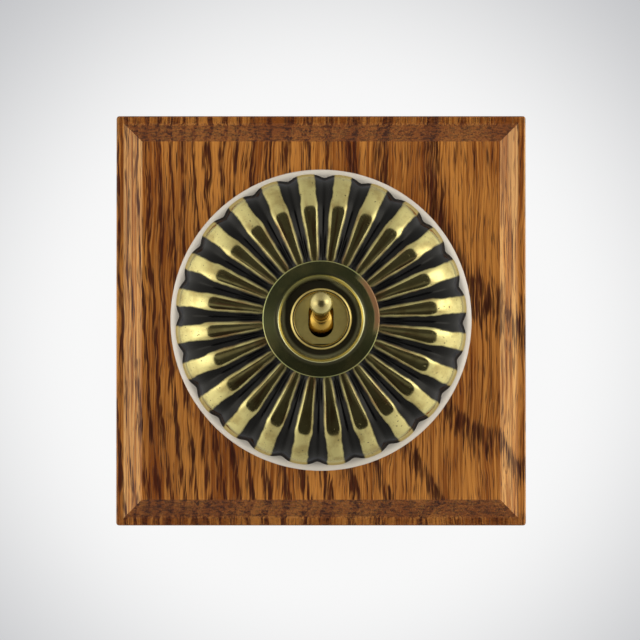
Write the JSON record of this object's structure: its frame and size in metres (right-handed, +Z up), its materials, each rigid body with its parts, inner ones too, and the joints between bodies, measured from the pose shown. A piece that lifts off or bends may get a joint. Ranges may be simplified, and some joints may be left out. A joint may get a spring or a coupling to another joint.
{
  "type": "dolly light switch",
  "caption": "Wall light switch: a fluted brass dome on a round porcelain base and a square chamfered oak block, with a ball-ended dolly that tilts up and down to work a rocker contact inside.",
  "frame": {"origin": "centre of the oak block's back face, where it meets the wall", "axes": "+Z up the wall, +Y into the wall, +X to the right seen from the front; the dolly points to -Y"},
  "size_m": [0.098, 0.0592, 0.098],
  "materials": {
    "oak": "stained oak, satin wax, vertical grain",
    "porcelain": "white gloss glaze",
    "antique_brass": "blackened brass with the high spots polished back",
    "polished_brass": "polished and slightly tarnished brass",
    "plain_brass": "machined brass",
    "silver_contact": "silver contact",
    "phenolic": "moulded phenolic",
    "plated_steel": "bright plated steel"
  },
  "bodies": {
    "base": {"oak_pattress": "oak", "porcelain_base": "porcelain", "fluted_dome": "antique_brass", "collar_ring": "antique_brass", "neck_bush": "polished_brass", "slot_plate": "polished_brass", "pivot_pin": "plated_steel", "fixed_contacts": "silver_contact", "common_terminal": "plain_brass", "upper_terminal": "plain_brass", "lower_terminal": "plain_brass", "terminal_screws": "plated_steel", "switch_body": "phenolic", "body_screws": "plated_steel", "yoke_plate": "plated_steel", "yoke_screws": "plated_steel", "earth_screw": "plated_steel", "base_screws": "plated_steel"},
    "lever": {"dolly": "polished_brass", "plunger_spring": "plated_steel"},
    "plunger": {"plunger": "plain_brass"},
    "rocker": {"rocker": "plain_brass", "rocker_contacts": "silver_contact"}
  },
  "joints": [
    {"name": "dolly_tilt", "type": "hinge", "parent": "base", "child": "lever", "pos_m": [0, -0.0454, 0], "axis": [1, 0, 0], "range_deg": [0, 34]},
    {"name": "rocker_tilt", "type": "hinge", "parent": "base", "child": "rocker", "pos_m": [0, -0.0317, 0], "axis": [1, 0, 0], "range_deg": [-10, 0]},
    {"name": "plunger_slide", "type": "slide", "parent": "lever", "child": "plunger", "axis": [0, 0.9563, -0.2924], "range_m": [-0.001, 0.0003], "stiffness_N_per_m": 400, "deforming": ["plunger_spring"]}
  ],
  "couplings": [
    {"joint": "rocker_tilt", "follows": "dolly_tilt", "ratio": -0.2941}
  ]
}
